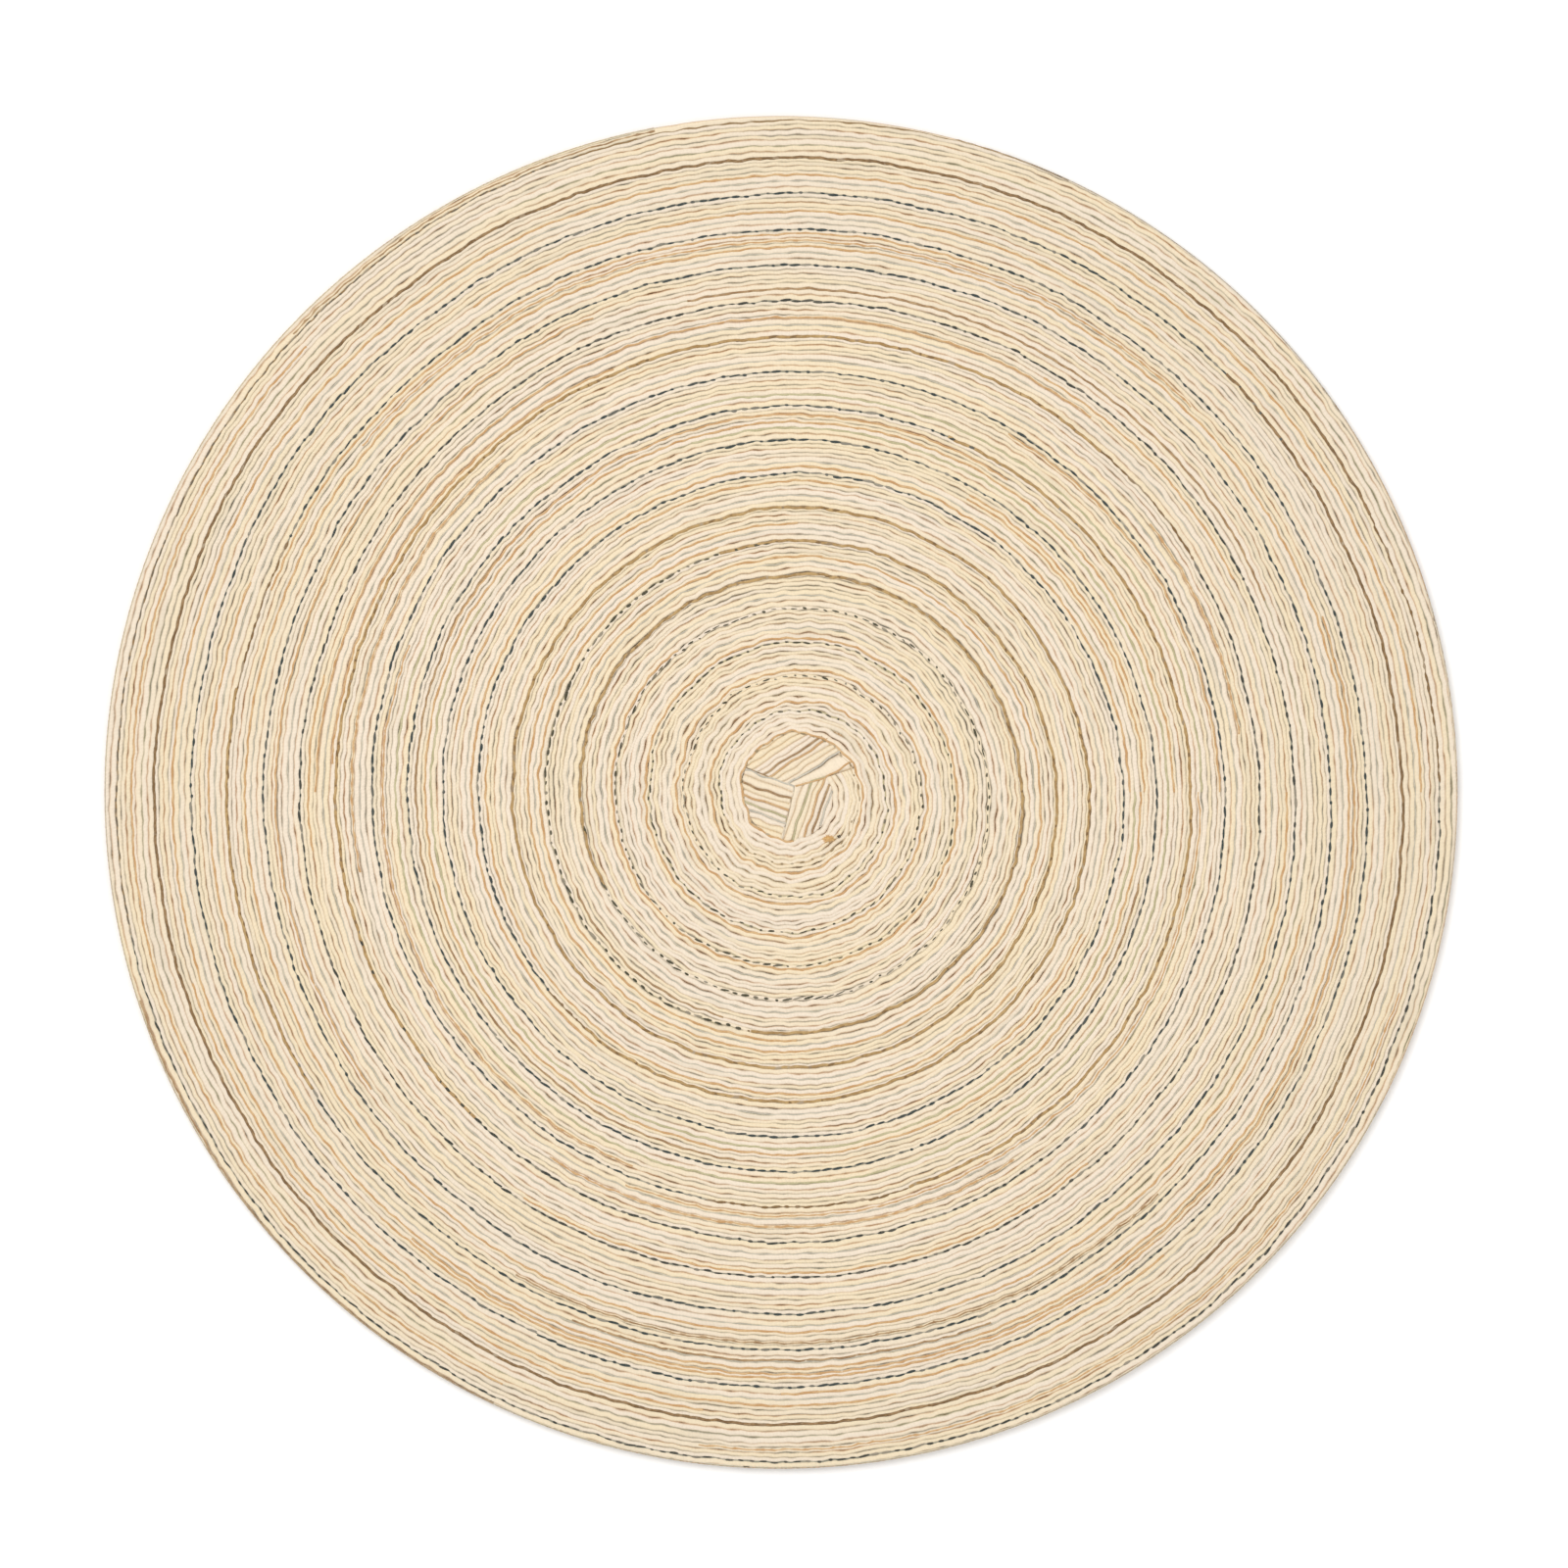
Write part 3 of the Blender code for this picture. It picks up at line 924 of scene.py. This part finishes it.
def make_leg(name, cotton_finish, yarns):
    """One folded length of tape: its ribs, cut to the leg's outline. Returns the coloured yarns
    between them."""
    (first, last), angle, edges, coloured = LEGS[name]
    chance = random.Random(name)
    run = Vector((math.cos(math.radians(angle)), math.sin(math.radians(angle))))
    outline = leg_outline(first, last)
    middle = sum(outline, Vector((0.0, 0.0))) / len(outline) - FOLD_HUB
    side = Vector((-run.y, run.x))
    if middle.dot(side) < 0:
        side = -side
    waves = [waved(chance, 2 * LEG_SECTIONS, LEG_WAVE) for _ in edges]
    places = [[edge / 1000 + shift for shift in shifts] for edge, shifts in zip(edges, waves)]
    ribs, threads = [], []
    for i, edge in enumerate(edges):
        rings, line = [], []
        for k in range(2 * LEG_SECTIONS):
            distance = (k - LEG_SECTIONS) * LEG_SECTION_SPACING
            low, high = reach_across(outline, run, side, distance)
            spot = FOLD_HUB + run * distance
            here = places[i][k]
            seen = distance > 0 or edge >= 0
            if i in coloured and seen and max(here, low + LEAST_RIB) < high - LEAST_RIB:
                here = max(here, low + LEAST_RIB)
                line.append((0.0, distance, spot + side * (here - LEG_YARN_HALF_WIDTH),
                             spot + side * (here + LEG_YARN_HALF_WIDTH),
                             THICKNESS - LEG_YARN_DEPTH, THICKNESS))
            if i + 1 == len(edges):
                continue
            inner = low if i == 0 else max(low, here - LEG_RIB_PRESS)
            outer = min(high, places[i + 1][k] + LEG_RIB_PRESS)
            if outer - inner > LEAST_RIB:
                ease = min(1.0, (outer - inner) / FULL_RIB)
                rings.append((i * 0.05, distance, spot + side * inner, spot + side * outer, 0.0001,
                              THICKNESS * (0.75 + 0.22 * ease)))
        if len(rings) > 2:
            ribs.append(short_strand(f"{name}_rib_{i}", rings, cotton_finish))
        if len(line) > 2:
            finish = yarns[coloured[i] + "_yarn"]
            threads.append((coloured[i], short_strand(f"{name}_yarn_{i}", line, finish, YARN_SIDES)))
    finished(joined(name.replace("folded", "ribbed"), ribs), "folded_cotton", name)
    return threads


# A tuft's fibres
FIBRE_STEPS = 8
TUFT_STRETCH = (1.35, 0.8)   # a tuft is wider along x than along y
FIBRE_HALF_WIDTHS = (0.00012, 0.00022)
MOST_BOW = 3.0               # sideways bend, in half widths
FIBRE_SINK = 0.00035         # of its ends into the tape
FIBRE_ARCH = 0.0009          # of its middle over them


def make_tuft(name, finish, count, shift, reach):
    """The frayed end of a yarn: short bent fibres that lie across one another on the tape."""
    low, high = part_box("start_knot")
    middle = Vector(((low.x + high.x) / 2 + shift[0], (low.y + high.y) / 2 + shift[1]))
    chance = random.Random(name)
    fibres = []
    for i in range(count):
        angle = chance.uniform(0.0, 2 * math.pi)
        ahead = Vector((math.cos(angle) * TUFT_STRETCH[0], math.sin(angle) * TUFT_STRETCH[1]))
        ahead = ahead * reach * chance.uniform(0.5, 1.0)
        across = Vector((-ahead.y, ahead.x)).normalized() * chance.uniform(*FIBRE_HALF_WIDTHS)
        bow = across * chance.uniform(-MOST_BOW, MOST_BOW)
        rings = []
        for k in range(FIBRE_STEPS + 1):
            share = k / FIBRE_STEPS
            arch = math.sin(math.pi * share)
            spot = middle + ahead * (share * 2 - 1) * 0.6 + bow * arch
            thin = 0.35 + 0.65 * arch
            lift = THICKNESS - FIBRE_SINK + FIBRE_ARCH * arch * (i % 5 + 1) / 5
            rings.append((i * 0.01, share * 0.003, spot - across * thin, spot + across * thin,
                          lift - 0.00012, lift + 0.00022 * thin))
        fibres.append(short_strand(f"{name}_{i}", rings, finish, YARN_SIDES))
    return joined(name, fibres)


def make_seam(tree, stitches):
    """The joining thread: a soft bed along the seam, and the short stitches on it."""
    bed_runs = [(turn, BED_OF[colour]) for turn, colour in STITCH_RUNS]
    bed = strand(
        tree, "joining_thread_bed", 0.0, 0.0, dyed_thread("seam_thread", bed_runs, True),
        first=THREAD_START, spacing=0.0011, sides=YARN_SIDES, half_width=0.00036, low=0.0021,
        high=0.0029, squareness=0.9, swelling=0.5, wander=0.0003, dip=1.0, seed=5.0)
    run = run_length(last_turn(0.0) - BARE_END)
    top = made_by(stitches, "joining_stitches", {
        "Count": int(run / STITCH_SPACING),
        "Start": run_length(THREAD_START),
        "Run": run,
        "Finish": dyed_thread("dark_stitch", STITCH_RUNS, False),
    })
    return bed, top


def make_yarns(tree, name, spans, finish, half_width=YARN_HALF_WIDTH, top=YARN_TOP):
    """Stretches of one coloured yarn, as one piece."""
    made = []
    for i, (first, last, share) in enumerate(spans):
        made.append(strand(
            tree, f"{name}_{i}", share, 0.0, finish, first=first, last=last, spacing=0.0010,
            sides=YARN_SIDES, rows=4, half_width=half_width, low=top - YARN_DEPTH, high=top,
            squareness=0.9, swelling=0.8, wander=0.00022, seed=9.1 * i))
    return joined(name, made) if len(made) > 1 else made[0]


set_camera()
set_studio()
strands = strand_tree()
ribs = make_ribs(strands)
for rib in ribs:
    finished(rib, "cream_cotton", "wound_tape")
ground = finished(make_ground(strands), "cream_cotton")
for piece in make_seam(strands, stitch_tree()):
    finished(piece, "joining_thread", "joining_thread")

yarns = {name: yarn(name, *dye) for name, dye in YARN_DYES.items()}
for node, span in TAN_LONG.items():
    finished(make_yarns(strands, "spun_" + node, [span], yarns["tan_yarn"]), "tan_yarn", node)
for name, (spans, dye, slot, half_width, top) in LOOSE_YARNS.items():
    finished(make_yarns(strands, name, spans, yarns[dye], half_width, top), slot)

# Grooves of the folded legs painted darker as coloured weft and painted shade, as on the wound ribs
folded_cotton = cotton("folded_cotton", 41.0, 0.04, (0.5, GREEN_GROOVE), (0.5, TAN_GROOVE))
fold_yarns = [pair for name in LEGS for pair in make_leg(name, folded_cotton, yarns)]
for colour in ("tan", "brown", "olive", "grey"):
    threads = [piece for key, piece in fold_yarns if key == colour]
    finished(joined(f"{colour}_fold_yarns", threads), "tan_yarn")

tuft = make_tuft("orange_tuft", yarns["orange_yarn"], 40, (0.0004, -0.0005), 0.0032)
finished(tuft, "orange_yarn", "start_knot")
speck = make_tuft("dark_speck", yarns["dark_fibre"], 6, (0.0034, 0.0001), 0.0010)
finished(speck, "orange_yarn")
